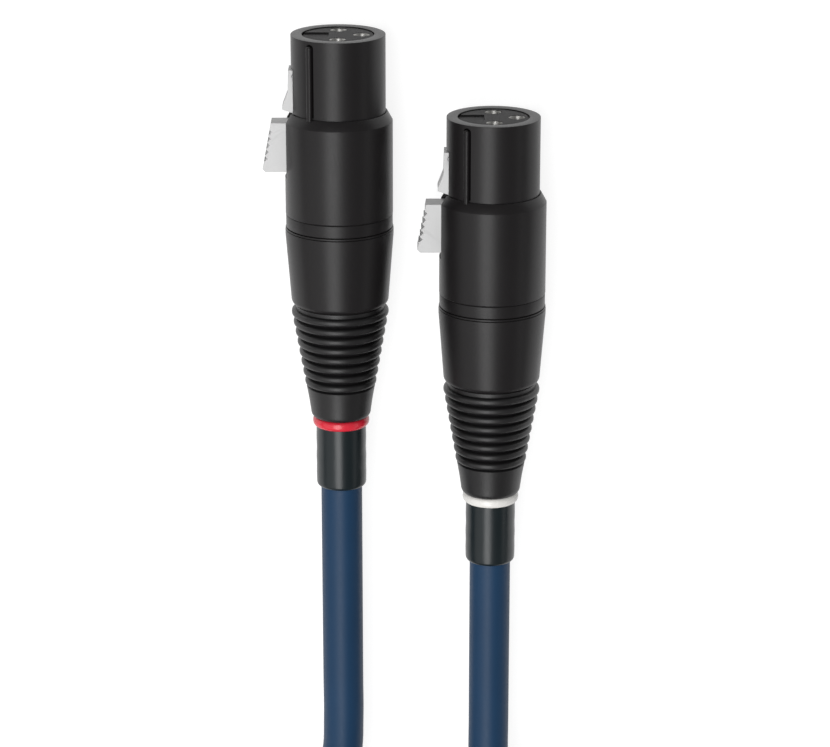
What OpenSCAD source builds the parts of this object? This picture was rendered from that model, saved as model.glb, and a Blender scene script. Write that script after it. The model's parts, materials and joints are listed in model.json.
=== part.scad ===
// Pair of balanced three-pole microphone cables. Each lead runs from a latching socket connector to a
// pin connector. The spare length of both leads is folded into one tied hank behind the sockets.
// Units are millimetres. +Y points out of the sockets' noses, +Z is up, and the sockets lie on Z = 0.

/* [Nose] */
// Outer diameter of the socket's nose
nose_d = 16.2; // [15.8:0.1:16.6]
// Length of the nose in front of the shell
nose_len = 13.4; // [13:0.1:14.4]
// Wall of the nose sleeve
nose_wall = 1.9; // [1.5:0.1:2.2]
// How far the insert's face lies behind the nose's rim
face_recess = 0.6; // [0.3:0.1:1.5]
// Width of the guide groove along the nose
guide_w = 1.5; // [1:0.1:2]
// Depth of the guide groove
guide_depth = 0.9; // [0.5:0.1:1.1]
// Distance from the nose's rim to the groove's rounded end
guide_start = 0.9; // [0.6:0.1:1.5]
// Angle of the guide groove from the top, towards the latch
guide_angle = 35; // [30:1:50]

/* [Contacts] */
// Radius of the circle that the three contacts stand on
contact_ring_r = 4; // [3.8:0.1:4.2]
// Outer diameter of a socket contact
contact_d = 3; // [2.8:0.1:3.1]
// Diameter of a pin
pin_d = 2.4; // [2.3:0.05:2.5]
// Length of a socket contact
contact_len = 17; // [14:0.5:20]
// How far the pins stand out of their insert
pin_reach = 11; // [9:0.5:12]

/* [Shell] */
// Outer diameter of the shell
shell_d = 18.6; // [18.2:0.1:19]
// Length of the shell's plain part
shell_len = 18; // [16:0.1:20]
// Wall of the shell
shell_wall = 1.0; // [0.8:0.05:1.1]
// Height of the cone at the shell's front
shell_bevel = 1.6; // [0.8:0.1:1.6]

/* [Collar] */
// Length of the recessed band between shell and collar
band_len = 2.3; // [1.5:0.1:3]
// How far the band lies below the shell's surface
band_step = 0.05; // [0.02:0.01:0.2]
// How far the screw collar stands out of the shell
collar_step = 0.1; // [0:0.05:0.3]
// Smallest diameter of the screw collar
collar_end_d = 17; // [16.6:0.1:17.4]
// Length of the screw collar
collar_len = 14.1; // [12:0.1:16]
// Radius of the collar's rounded end
collar_round = 1.2; // [0.6:0.1:1.6]

/* [Boot] */
// Number of ribs on the boot
rib_count = 8; // [6:1:9]
// Distance between ribs
rib_pitch = 1.82; // [1.6:0.01:1.9]
// How far each rib stands out of the boot
rib_height = 0.75; // [0.4:0.05:0.9]
// Diameter over the first rib
rib_first_d = 17; // [16.6:0.1:17.4]
// Diameter over the last rib
rib_last_d = 12.6; // [12:0.1:13]
// Length of the plain end of the boot
boot_end_len = 5.6; // [4.5:0.1:7]
// Diameter of the boot's end
boot_end_d = 10.6; // [10.2:0.1:11]

/* [Coding ring and sleeve] */
// Outer diameter of the coding ring
ring_d = 10; // [9.8:0.1:11]
// Thickness of the coding ring
ring_t = 1.7; // [1.2:0.1:1.9]
// Outer diameter of the shrink sleeve
sleeve_d = 8.8; // [8.5:0.1:9.2]
// Length of the shrink sleeve behind the boot
sleeve_len = 13; // [11:0.1:17]

/* [Latch] */
// Width of the latch lever
latch_w = 4.2; // [3.5:0.1:4.6]
// How far the catch stands out of the nose
catch_reach = 1.5; // [1:0.1:1.8]
// How far the front of the push pad stands out of the shell
pad_front = 2.3; // [1.8:0.1:2.8]
// How far the back of the push pad stands out of the shell
pad_back = 3.8; // [3:0.1:4.4]
// Length of the push pad
pad_len = 8.6; // [8:0.1:9.2]
// Number of grip notches in the push pad
notch_count = 5; // [3:1:6]
// Thickness of the lever's arm
arm_t = 1; // [0.8:0.05:1.1]

/* [Cable] */
// Diameter of the cable
cord_d = 7.3; // [7:0.1:7.5]
// Distance between the two sockets' axes
pair_pitch = 26.6; // [26:0.1:30]
// How far the second socket lies behind the first
pair_stagger = 14.4; // [10:0.1:18]

/* [Hank] */
// How far the hank's near fold lies behind the first socket's nose
hank_back = 184; // [180:1:190]
// How far the red cable's tail reaches past the hank's far fold
red_tail_len = 30; // [28:1:34]
// How far the white cable's tail reaches past the hank's far fold
white_tail_len = 48; // [46:1:52]
// Distance of each pin connector's axis from the hank's middle line
pin_spread = 22; // [20:0.5:23]
// Radius of the inner fold of a hank
fold_r = 19.7; // [19:0.1:21]
// Distance between loops that lie beside each other
loop_step = 8.5; // [8.3:0.1:9]
// Distance between layers of the hank
layer_step = 7.8; // [7.7:0.1:8]
// Length of a hank's runs between its folds
run_len = 55; // [52:1:60]
// How far the loops are drawn in at the waist
waist_pull = 8; // [4:0.5:8]
// Width of the tie
tie_w = 16; // [10:1:20]
// Thickness of the tie
tie_t = 1.2; // [0.8:0.1:1.5]

/* [Hidden] */

fit = 0.1;          // clearance between seated pieces
play = 0.3;         // clearance round moving pieces
eps = 0.01;         // overrun of a cut
$fn = 64;

black = "#2b2a2b";
blue = "#26415f";

// Stations along a socket, measured back from the nose's rim
shell_z = nose_len;
band_z = shell_z + shell_len;
collar_z = band_z + band_len;
boot_z = collar_z + collar_len;
first_rib_z = boot_z + rib_pitch * 0.75;
last_rib_z = first_rib_z + rib_pitch * (rib_count - 1);
cone_z = last_rib_z + rib_pitch * 0.55;
boot_end_z = cone_z + boot_end_len;
sleeve_end_z = boot_end_z + sleeve_len;

shell_r = shell_d / 2;
collar_d = shell_d + 2 * collar_step;
shell_bore_r = shell_r - shell_wall;
nose_r = nose_d / 2;
nose_bore_r = nose_r - nose_wall;
cord_r = cord_d / 2;
axis_z = max(shell_d, collar_d) / 2;

sleeve_r = sleeve_d / 2;
lip_t = 1.2;
insert_len = contact_len + 0.6;
keyway_w = 3.8;
mouth_t = 0.4;      // front wall of the insert, over the contacts
chuck_grip = 6;     // plain length of the clamp before its taper
contact_angles = [-90, 0, 90];
collar_bore_r = 7.3;
spigot_z = boot_z - 3;

// The lever turns on a pin under the front of its strip and lies in a channel with a flat floor
latch_front_z = nose_len * 0.44;
hinge_pin_d = 1.0;
hinge_z = latch_front_z + 1.1;
arm_r = nose_r - 0.45;
hinge_r = arm_r - 0.35;
catch_z = nose_len - 0.7;
pad_z = shell_z + 1.7;
pad_end_z = pad_z + pad_len;
pad_swing = 1.1;    // room behind the pad as it swings in
latch_floor_r = 2.4;

// The leaf spring under the lever
leaf_w = 2.4;
leaf_t = 0.3;
leaf_z = hinge_z + 1.2;
leaf_len = 7;
leaf_tip_r = latch_floor_r + 2.5;

// Stations of the pin connector
pin_face_z = 14.4;
pin_insert_len = 6;
pin_root_d = pin_d - 0.4;
pin_gap = 0.3;      // short neck between a pin's working length and its insert
catch_window_z = catch_z - 1.2;

// Places of the sockets: the pair's own box, without the cable, is centred on the origin
pad_reach_r = shell_r + pad_back;
red_x = -pair_pitch / 2 + (pad_reach_r - collar_d / 2) / 2;
white_x = red_x + pair_pitch;
pair_len = pair_stagger + sleeve_end_z;
red_nose_y = pair_len / 2;
white_nose_y = red_nose_y - pair_stagger;
hank_x = (red_x + white_x) / 2;

// Places of the hank, as distances behind the red socket's nose
near_fold_y = red_nose_y - hank_back;
outer_r = fold_r + loop_step;
far_fold_y = near_fold_y - run_len;
waist_y = near_fold_y - run_len / 2;
layer_z = [for (i = [0:3]) tie_t + play + cord_r + i * layer_step];

// Places of the pin connectors: their sleeves' ends face the hank
red_pin_x = hank_x - pin_spread;
white_pin_x = hank_x + pin_spread;
red_pin_y = far_fold_y - red_tail_len;
white_pin_y = far_fold_y - white_tail_len;

function unit(v) = v / norm(v);
function ease(t) = (1 - cos(180 * t)) / 2;

// ---- Cable routes ----

// A run between the folds: side is -1 for left and 1 for right, way is 1 towards the far fold
function run(side, r, z0, z1, way) = [
  for (i = [0:5])
    let (t = i / 6, s = way > 0 ? t : 1 - t)
      [
        side * (r - waist_pull * (1 - cos(360 * s)) / 2),
        near_fold_y - run_len * s,
        z0 + (z1 - z0) * ease(t)
      ]
];

// A fold at the near or far end, from side x0 to side x1, on one layer
function fold(end_y, way, x0, x1, z) = [
  for (i = [0:5])
    let (a = 180 * i / 6, c = (x0 + x1) / 2, r = (x0 - x1) / 2)
      [c + r * cos(a), end_y - way * abs(r) * sin(a), z]
];

// Three and a half loops in two layers: outer and inner loop below, inner and outer loop above
function hank_route(low, high) = concat(
  run(-1, outer_r, low, low, 1),
  fold(far_fold_y, 1, -outer_r, outer_r, low),
  run(1, outer_r, low, low, -1),
  fold(near_fold_y, -1, outer_r, -fold_r, low),
  run(-1, fold_r, low, low, 1),
  fold(far_fold_y, 1, -fold_r, fold_r, low),
  run(1, fold_r, low, high, -1),
  fold(near_fold_y, -1, fold_r, -fold_r, high),
  run(-1, fold_r, high, high, 1),
  fold(far_fold_y, 1, -fold_r, outer_r, high),
  run(1, outer_r, high, high, -1),
  fold(near_fold_y, -1, outer_r, -outer_r, high),
  run(-1, outer_r, high, high, 1),
  [[-outer_r, far_fold_y, high]]
);

// A route's two ends run straight along Y for one diameter
function straight_ends(p) =
  let (n = len(p) - 1)
    concat(
      [p[0] + [0, cord_d, 0]],
      p,
      [p[n] - [0, cord_d, 0]]
    );

function mirrored(p, side) = [for (q = p) [hank_x + side * q[0], q[1], q[2]]];

red_hank_path = mirrored(straight_ends(hank_route(layer_z[0], layer_z[1])), 1);
white_hank_path = mirrored(straight_ends(hank_route(layer_z[2], layer_z[3])), -1);

// Free stretches: from a sleeve to the hank and from the hank to a sleeve. Each has hand-chosen
// shares: [how far along, how far across, how far up]
lead_shares = [
  [0, 0, 0], [0.1, 0, 0], [0.2, 0, 0], [0.3, 0, 0], [0.4, 0, 0.01], [0.48, 0, 0.05],
  [0.56, 0.025, 0.17], [0.64, 0.146, 0.37], [0.72, 0.371, 0.61], [0.8, 0.629, 0.82],
  [0.88, 0.854, 0.95], [0.94, 0.962, 1], [1, 1, 1]
];
tail_shares = [
  [0, 0, 0], [0.1, 0, 0], [0.22, 0.06, 0.08], [0.36, 0.24, 0.26], [0.5, 0.5, 0.5],
  [0.64, 0.76, 0.74], [0.78, 0.94, 0.92], [0.9, 1, 1], [1, 1, 1]
];

function between(a, b, shares) = [
  for (s = shares) [a[0] + (b[0] - a[0]) * s[1], a[1] + (b[1] - a[1]) * s[0], a[2] + (b[2] - a[2]) * s[2]]
];

function last(p) = p[len(p) - 1];

red_lead_path = between([red_x, red_nose_y - sleeve_end_z, axis_z], red_hank_path[0], lead_shares);
white_lead_path = between([white_x, white_nose_y - sleeve_end_z, axis_z], white_hank_path[0], lead_shares);
red_tail_path = between(last(red_hank_path), [red_pin_x, red_pin_y, axis_z], tail_shares);
white_tail_path = between(last(white_hank_path), [white_pin_x, white_pin_y, axis_z], tail_shares);

function total(v) = v * [for (x = v) 1];
function path_len(p) = total([for (i = [1:len(p) - 1]) norm(p[i] - p[i - 1])]);

// Least distance from a point to a segment
function seg_gap(q, a, b) =
  let (d = b - a, t = max(0, min(1, ((q - a) * d) / (d * d))))
    norm(q - a - t * d);

// Least gap of a tube to itself, between places more than six points apart
function self_gap(p) = min([
  for (i = [0:len(p) - 1], j = [0:len(p) - 2])
    if (abs(i - j) > 6) seg_gap(p[i], p[j], p[j + 1])
]) - cord_d;

function cross_gap(p, q) = min([
  for (i = [0:len(p) - 1], j = [0:len(q) - 2]) seg_gap(p[i], q[j], q[j + 1])
]) - cord_d;

echo("least gap of the red hank to itself", self_gap(red_hank_path));
echo("least gap of the white hank to itself", self_gap(white_hank_path));
echo("least gap between the hanks", cross_gap(white_hank_path, red_hank_path));
echo("least gap of the white lead to the red hank", cross_gap(white_lead_path, red_hank_path));
echo("least gap of the white tail to the red hank", cross_gap(white_tail_path, red_hank_path));
echo("least gap of the red lead to the red hank",
  cross_gap([for (i = [0:8]) red_lead_path[i]], red_hank_path));
echo("length of the red cable", path_len(red_lead_path) + path_len(red_hank_path) + path_len(red_tail_path));
echo("length of the white cable",
  path_len(white_lead_path) + path_len(white_hank_path) + path_len(white_tail_path));

// A tube along a path, with its ends square to Y
module tube(p, sides) {
  n = len(p);
  way = [
    for (i = [0:n - 1])
      i == 0 || i == n - 1 ? [0, p[0][1] > p[n - 1][1] ? -1 : 1, 0]
      : unit(unit(p[i + 1] - p[i]) + unit(p[i] - p[i - 1]))
  ];
  points = [
    for (i = [0:n - 1])
      let (across = unit(cross([0, 0, 1], way[i])), up = cross(way[i], across))
        for (k = [0:sides - 1])
          p[i] + cord_r * (cos(360 * (k + 0.5) / sides) * across + sin(360 * (k + 0.5) / sides) * up)
  ];
  walls = [
    for (i = [0:n - 2], k = [0:sides - 1], half = [0:1])
      let (a = i * sides + k, b = i * sides + (k + 1) % sides)
        half == 0 ? [a, b, a + sides] : [b, b + sides, a + sides]
  ];
  caps = [
    for (k = [1:sides - 2], end = [0:1])
      end == 0 ? [0, k + 1, k] : [(n - 1) * sides, (n - 1) * sides + k, (n - 1) * sides + k + 1]
  ];
  polyhedron(points, concat(walls, caps));
}

// ---- Placing ----

// Stations run back from a connector's front rim, and the local Y axis points up
module at_socket(x, nose_y) {
  translate([x, nose_y, axis_z])
    rotate([90, 0, 0])
      children();
}

// A pin connector faces away from its sleeve's end, with the local Y axis pointing down
module at_pin(x, sleeve_y) {
  translate([x, sleeve_y - sleeve_end_z, axis_z])
    rotate([-90, 0, 0])
      children();
}

module tube_between(wide_r, bore_r, z0, z1) {
  translate([0, 0, z0])
    difference() {
      cylinder(r = wide_r, h = z1 - z0);
      translate([0, 0, -eps])
        cylinder(r = bore_r, h = z1 - z0 + 2 * eps);
    }
}

// ---- Socket connector ----

// A box cut on the latch's side, from outside the shell in to a depth measured from the axis
module latch_cut(depth_r, z0, z1) {
  translate([-shell_r - pad_back, -latch_w / 2 - play, z0])
    cube([shell_r + pad_back - depth_r, latch_w + 2 * play, z1 - z0]);
}

module nose_sleeve() {
  color(black)
    difference() {
      rotate_extrude()
        polygon([
          [nose_bore_r, 0.2], [nose_bore_r + 0.2, 0], [nose_r - 0.35, 0], [nose_r, 0.35],
          [nose_r, shell_z + lip_t + fit], [shell_bore_r - fit, shell_z + lip_t + fit],
          [shell_bore_r - fit, collar_z], [nose_bore_r, collar_z]
        ]);
      latch_cut(latch_floor_r, latch_front_z - play, pad_end_z + pad_swing);
      rotate([0, 0, guide_angle])
        translate([0, nose_r - guide_depth, 0])
          rotate([-90, 0, 0])
            linear_extrude(guide_depth + 1)
              translate([0, -guide_start - guide_w / 2]) {
                circle(d = guide_w);
                translate([-guide_w / 2, -(shell_z - play - guide_start - guide_w / 2)])
                  square([guide_w, shell_z - play - guide_start - guide_w / 2]);
              }
    }
}

module insert() {
  color("#333132")
    difference() {
      translate([0, 0, face_recess])
        cylinder(r = nose_bore_r - fit, h = insert_len);
      for (a = contact_angles)
        rotate([0, 0, a])
          translate([contact_ring_r, 0, face_recess]) {
            translate([0, 0, -eps])
              cylinder(r = pin_d / 2 + fit, h = mouth_t + 2 * eps);
            translate([0, 0, mouth_t])
              cylinder(r = contact_d / 2 + fit, h = insert_len);
          }
      translate([-nose_r, -keyway_w / 2, -eps])
        cube([nose_r - 1.6, keyway_w, face_recess + 2]);
      latch_cut(latch_floor_r, latch_front_z - play, face_recess + insert_len + 1);
    }
}

module contacts() {
  color("#c9c6bd")
    for (a = contact_angles)
      rotate([0, 0, a])
        translate([contact_ring_r, 0, face_recess + mouth_t])
          tube_between(contact_d / 2, pin_d / 2 + fit / 2, 0, contact_len);
}

module socket_shell() {
  color(black)
    difference() {
      rotate_extrude()
        polygon([
          [nose_r + fit, shell_z], [nose_r + 0.3, shell_z], [shell_r, shell_z + shell_bevel],
          [shell_r, band_z - 0.2], [shell_r - band_step, band_z],
          [shell_r - band_step, collar_z], [shell_bore_r, collar_z],
          [shell_bore_r, shell_z + lip_t], [nose_r + fit, shell_z + lip_t]
        ]);
      latch_cut(nose_r - 1, shell_z - eps, pad_end_z + pad_swing);
    }
}

// The lever seen from its side: x is the distance from the axis, y is the station
module latch_outline() {
  notch_step = (pad_len - 2.8) / notch_count;
  difference() {
    polygon([
      [arm_r - arm_t, latch_front_z], [nose_r + 0.4, latch_front_z], [nose_r + 0.5, catch_z - 3],
      [nose_r + catch_reach, catch_z - 0.4], [nose_r + catch_reach, catch_z],
      [arm_r, catch_z + 0.7], [arm_r, pad_z], [shell_r + pad_front, pad_z],
      [shell_r + pad_back, pad_end_z - 0.5], [shell_r + pad_back - 0.5, pad_end_z],
      [arm_r - arm_t, pad_end_z]
    ]);
    for (i = [0:notch_count - 1])
      let (z = pad_z + 1.6 + i * notch_step)
        translate([shell_r + pad_front + (pad_back - pad_front) * (z - pad_z) / pad_len, z])
          rotate(45)
            square(0.7, center = true);
    translate([hinge_r, hinge_z])
      circle(d = hinge_pin_d + 2 * play / 3);
  }
}

module latch() {
  color("#d3d3d3")
    translate([0, latch_w / 2, 0])
      rotate([90, 0, 0])
        linear_extrude(latch_w)
          mirror([1, 0])
            latch_outline();
}

// The pin that the lever turns on, pressed into the walls of the sleeve's slot
module latch_pin() {
  color("#b9b9b9")
    translate([-hinge_r, latch_w / 2 + play, hinge_z])
      rotate([90, 0, 0])
        cylinder(d = hinge_pin_d, h = latch_w + 2 * play);
}

// A leaf under the lever: it is held at the lever's front and its free end springs inwards
module leaf_spring() {
  color("#a8a9aa")
    translate([0, leaf_w / 2, 0])
      rotate([90, 0, 0])
        linear_extrude(leaf_w)
          mirror([1, 0])
            polygon([
              [arm_r - arm_t, leaf_z], [arm_r - arm_t, leaf_z + 2], [leaf_tip_r + leaf_t, leaf_z + leaf_len],
              [leaf_tip_r, leaf_z + leaf_len], [arm_r - arm_t - leaf_t, leaf_z + 1.8],
              [arm_r - arm_t - leaf_t, leaf_z]
            ]);
}

// ---- Parts that both kinds of connector have ----

// The end of the cable's jacket that lies inside a connector
module cable_core() {
  color(blue)
    translate([0, 0, collar_z + 1])
      cylinder(r = cord_r, h = sleeve_end_z - collar_z - 1);
}

// A slotted clamp that the collar presses onto the jacket
module chuck() {
  color("#e3e1da")
    difference() {
      rotate_extrude()
        polygon([
          [cord_r + fit, collar_z + 1], [collar_bore_r - fit, collar_z + 1],
          [collar_bore_r - fit, collar_z + chuck_grip], [collar_bore_r - 1.2, spigot_z - play],
          [cord_r + fit, spigot_z - play]
        ]);
      for (a = [45, 135])
        rotate([0, 0, a])
          translate([-collar_bore_r, -0.4, collar_z + 4])
            cube([2 * collar_bore_r, 0.8, collar_len]);
    }
}

module collar() {
  color(black)
    rotate_extrude()
      polygon(concat(
        [[collar_bore_r, collar_z], [collar_d / 2 - 0.35, collar_z], [collar_d / 2, collar_z + 0.35],
         [collar_d / 2, collar_z + 1.2]],
        [for (a = [0:30:90])
          [collar_end_d / 2 - collar_round * (1 - cos(a)), boot_z - collar_round * (1 - sin(a))]],
        [[collar_bore_r, boot_z]]
      ));
}

// Radius over a rib at a station
function rib_r(z) = (rib_first_d + (rib_last_d - rib_first_d) * (z - first_rib_z) / (last_rib_z - first_rib_z)) / 2;

module boot() {
  half = rib_pitch / 2;
  color("#1f1e1f")
    rotate_extrude()
      polygon(concat(
        [[cord_r + fit, spigot_z], [collar_bore_r - fit, spigot_z], [collar_bore_r - fit, boot_z],
         [rib_r(first_rib_z) - rib_height, boot_z]],
        [for (i = [0:rib_count - 1], s = [-0.8, -0.55, -0.2, 0.2, 0.55, 0.8])
          let (z = first_rib_z + i * rib_pitch)
            [rib_r(z) - rib_height * (1 - sqrt(1 - pow(abs(s) > 0.7 ? 1 : s, 2))), z + s * half]],
        [[rib_r(cone_z) - 0.1, cone_z], [boot_end_d / 2, boot_end_z - 1], [boot_end_d / 2 - 0.25, boot_end_z - 0.35],
         [boot_end_d / 2 - 0.7, boot_end_z], [cord_r + fit, boot_end_z]]
      ));
}

module coding_ring(shade) {
  bulge = ring_d / 2 - sleeve_r - fit / 2;
  color(shade)
    translate([0, 0, boot_end_z + ring_t / 2])
      rotate_extrude()
        translate([sleeve_r + fit / 2, 0])
          intersection() {
            scale([2 * bulge / ring_t, 1])
              circle(d = ring_t);
            translate([0, -ring_t])
              square([ring_d, 2 * ring_t]);
          }
}

module shrink_sleeve() {
  color("#1b2124")
    rotate_extrude()
      polygon([
        [cord_r + fit / 2, boot_end_z], [sleeve_r, boot_end_z], [sleeve_r, sleeve_end_z - 0.6],
        [sleeve_r - 0.2, sleeve_end_z - 0.15], [sleeve_r - 0.45, sleeve_end_z], [cord_r + fit / 2, sleeve_end_z]
      ]);
}

// ---- Pin connector ----

module pin_shell() {
  color(black)
    difference() {
      rotate_extrude()
        polygon([
          [shell_bore_r, 0.3], [shell_bore_r + 0.3, 0], [shell_r - 0.4, 0], [shell_r, 0.4],
          [shell_r, band_z - 0.2], [shell_r - band_step, band_z],
          [shell_r - band_step, collar_z], [shell_bore_r, collar_z]
        ]);
      translate([-shell_r - 1, -latch_w / 2 - play, catch_window_z])
        cube([shell_wall + 2, latch_w + 2 * play, 3]);
    }
}

module pin_insert() {
  color("#333132")
    difference() {
      translate([0, 0, pin_face_z])
        cylinder(r = shell_bore_r - fit, h = pin_insert_len);
      for (a = contact_angles)
        rotate([0, 0, a])
          translate([contact_ring_r, 0, pin_face_z - eps])
            cylinder(r = pin_root_d / 2 + fit / 2, h = pin_insert_len + 2 * eps);
    }
}

module pins() {
  color("#c9c6bd")
    for (a = contact_angles)
      rotate([0, 0, a])
        translate([contact_ring_r, 0, pin_face_z - pin_reach]) {
          translate([0, 0, 0.6])
            cylinder(d = pin_d, h = pin_reach - 0.6 - pin_gap);
          translate([0, 0, 0.6 + eps])
            cylinder(d = pin_root_d, h = pin_reach + pin_insert_len + 3);
          cylinder(d1 = pin_d - 1.2, d2 = pin_d, h = 0.6);
        }
}

// ---- Tie ----

module rounded_plate(w, h, r) {
  translate([-w / 2, r])
    square([w, h - 2 * r]);
  translate([-w / 2 + r, 0])
    square([w - 2 * r, h]);
  for (x = [-1, 1], y = [r, h - r])
    translate([x * (w / 2 - r), y])
      circle(r = r);
}

module hank_tie() {
  // The strands spread by a quarter of the pull over the first sixth of a run on each side of the waist
  spread = waist_pull / 4 * (tie_w / 2) / (run_len / 6);
  inner_w = 2 * (outer_r - waist_pull + spread + cord_r + play);
  inner_h = layer_z[3] + cord_r + play - tie_t;
  color("#17181a")
    translate([hank_x, waist_y + tie_w / 2, 0])
      rotate([90, 0, 0])
        linear_extrude(tie_w)
          difference() {
            rounded_plate(inner_w + 2 * tie_t, inner_h + 2 * tie_t, 3 + tie_t);
            translate([0, tie_t])
              rounded_plate(inner_w, inner_h, 3);
          }
}

module lead_tube(path) {
  color(blue)
    tube(path, 8);
}

module hank_tube(path) {
  color(blue)
    tube(path, 6);
}

red = "#e02736";
white = "#eceae6";

at_socket(red_x, red_nose_y) nose_sleeve();  // red_sleeve
at_socket(red_x, red_nose_y) insert();  // red_insert
at_socket(red_x, red_nose_y) contacts();  // red_contacts
at_socket(red_x, red_nose_y) socket_shell();  // red_shell
at_socket(red_x, red_nose_y) latch();  // red_latch
at_socket(red_x, red_nose_y) latch_pin();  // red_latch_pin
at_socket(red_x, red_nose_y) leaf_spring();  // red_spring
at_socket(red_x, red_nose_y) cable_core();  // red_core
at_socket(red_x, red_nose_y) chuck();  // red_chuck
at_socket(red_x, red_nose_y) collar();  // red_collar
at_socket(red_x, red_nose_y) boot();  // red_boot
at_socket(red_x, red_nose_y) coding_ring(red);  // red_ring
at_socket(red_x, red_nose_y) shrink_sleeve();  // red_shrink

at_socket(white_x, white_nose_y) nose_sleeve();  // white_sleeve
at_socket(white_x, white_nose_y) insert();  // white_insert
at_socket(white_x, white_nose_y) contacts();  // white_contacts
at_socket(white_x, white_nose_y) socket_shell();  // white_shell
at_socket(white_x, white_nose_y) latch();  // white_latch
at_socket(white_x, white_nose_y) latch_pin();  // white_latch_pin
at_socket(white_x, white_nose_y) leaf_spring();  // white_spring
at_socket(white_x, white_nose_y) cable_core();  // white_core
at_socket(white_x, white_nose_y) chuck();  // white_chuck
at_socket(white_x, white_nose_y) collar();  // white_collar
at_socket(white_x, white_nose_y) boot();  // white_boot
at_socket(white_x, white_nose_y) coding_ring(white);  // white_ring
at_socket(white_x, white_nose_y) shrink_sleeve();  // white_shrink

lead_tube(red_lead_path);  // red_lead
hank_tube(red_hank_path);  // red_hank
lead_tube(red_tail_path);  // red_tail
lead_tube(white_lead_path);  // white_lead
hank_tube(white_hank_path);  // white_hank
lead_tube(white_tail_path);  // white_tail
hank_tie();

at_pin(red_pin_x, red_pin_y) pin_shell();  // red_pin_shell
at_pin(red_pin_x, red_pin_y) pin_insert();  // red_pin_insert
at_pin(red_pin_x, red_pin_y) pins();  // red_pins
at_pin(red_pin_x, red_pin_y) cable_core();  // red_pin_core
at_pin(red_pin_x, red_pin_y) chuck();  // red_pin_chuck
at_pin(red_pin_x, red_pin_y) collar();  // red_pin_collar
at_pin(red_pin_x, red_pin_y) boot();  // red_pin_boot
at_pin(red_pin_x, red_pin_y) coding_ring(red);  // red_pin_ring
at_pin(red_pin_x, red_pin_y) shrink_sleeve();  // red_pin_shrink

at_pin(white_pin_x, white_pin_y) pin_shell();  // white_pin_shell
at_pin(white_pin_x, white_pin_y) pin_insert();  // white_pin_insert
at_pin(white_pin_x, white_pin_y) pins();  // white_pins
at_pin(white_pin_x, white_pin_y) cable_core();  // white_pin_core
at_pin(white_pin_x, white_pin_y) chuck();  // white_pin_chuck
at_pin(white_pin_x, white_pin_y) collar();  // white_pin_collar
at_pin(white_pin_x, white_pin_y) boot();  // white_pin_boot
at_pin(white_pin_x, white_pin_y) coding_ring(white);  // white_pin_ring
at_pin(white_pin_x, white_pin_y) shrink_sleeve();  // white_pin_shrink
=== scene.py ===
"""A pair of balanced three-pole microphone cables: two latching socket connectors with ribbed boots and
coloured coding rings, their leads, and a tied hank that ends in two pin connectors."""

import json
import math

import bpy
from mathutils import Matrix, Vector

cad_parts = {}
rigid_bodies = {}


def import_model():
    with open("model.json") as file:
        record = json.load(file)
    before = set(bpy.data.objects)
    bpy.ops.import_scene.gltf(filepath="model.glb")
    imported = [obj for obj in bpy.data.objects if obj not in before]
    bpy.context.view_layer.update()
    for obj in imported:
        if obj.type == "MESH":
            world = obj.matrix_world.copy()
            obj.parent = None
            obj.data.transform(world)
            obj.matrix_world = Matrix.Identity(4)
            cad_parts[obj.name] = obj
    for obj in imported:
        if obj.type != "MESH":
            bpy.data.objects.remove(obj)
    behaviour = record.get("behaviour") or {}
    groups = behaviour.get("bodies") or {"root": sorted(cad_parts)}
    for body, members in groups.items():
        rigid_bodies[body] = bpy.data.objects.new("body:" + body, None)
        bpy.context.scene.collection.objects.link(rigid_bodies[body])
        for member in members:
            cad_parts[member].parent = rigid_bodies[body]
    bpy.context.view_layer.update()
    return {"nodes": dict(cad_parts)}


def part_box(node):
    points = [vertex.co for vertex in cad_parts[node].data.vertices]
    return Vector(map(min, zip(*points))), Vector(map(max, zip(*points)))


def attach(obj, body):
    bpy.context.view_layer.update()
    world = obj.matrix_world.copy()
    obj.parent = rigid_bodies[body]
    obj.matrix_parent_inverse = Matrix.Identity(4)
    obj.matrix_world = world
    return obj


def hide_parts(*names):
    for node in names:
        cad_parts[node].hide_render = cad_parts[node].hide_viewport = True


bl_info = {
    "name": "Microphone Cable Pair",
    "version": (1, 0, 0),
    "blender": (4, 5, 0),
    "location": "View3D > Sidebar > Cable Pair",
    "description": "Builds a pair of three-pole microphone cables with their connectors and hank",
    "category": "Object",
}

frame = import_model()

MM = 0.001
ROOT_BODY = "cable_pair"
SIDES = ("red", "white")

# Sides of turned pieces and of small round holes, points on each run and fold of the hank, and steps
# in a rounded end
RING_STEPS = 96
HOLE_STEPS = 48
HANK_STEPS = 6
ROUND_STEPS = 6
COLLAR_ROUND_STEPS = 9
# Play round a moving piece, gap between seated pieces, and how far a cutting block reaches past a face
HOLE_PLAY = 0.3 * MM
FIT = 0.1 * MM
PAST = 1 * MM

# Radii of the rounded edges
NOSE_EDGE = 0.32 * MM
RIB_EDGE = 0.3 * MM
INSERT_EDGE = 0.15 * MM
SHELL_EDGE = 0.06 * MM
PIN_SHELL_EDGE = 0.22 * MM
LATCH_EDGE = 0.12 * MM
STRAP_EDGE = 0.25 * MM
STRAP_END_EDGE = 0.3 * MM

# The insert's play in the nose, the lip of its mouths, the tubes' play in it, their flat rims and the
# distance of the keyway's end from the axis
INSERT_PLAY = 0.12 * MM
MOUTH_LIP = 0.06 * MM
TUBE_PLAY = 0.03 * MM
TUBE_RIM = 0.12 * MM
KEYWAY_R = 1.6 * MM
# How far the guide rib runs over the shell's cone
RIB_PAST = 0.45 * MM
# The latch: where its catch starts on the nose, its pad's gap behind the shell's front, the pad's swing
# backwards, and the radius of the slot's floor
LATCH_FRONT_SHARE = 0.44
PAD_GAP = 1.7 * MM
PAD_SWING = 1.1 * MM
SLOT_FLOOR_R = 2.4 * MM

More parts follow.
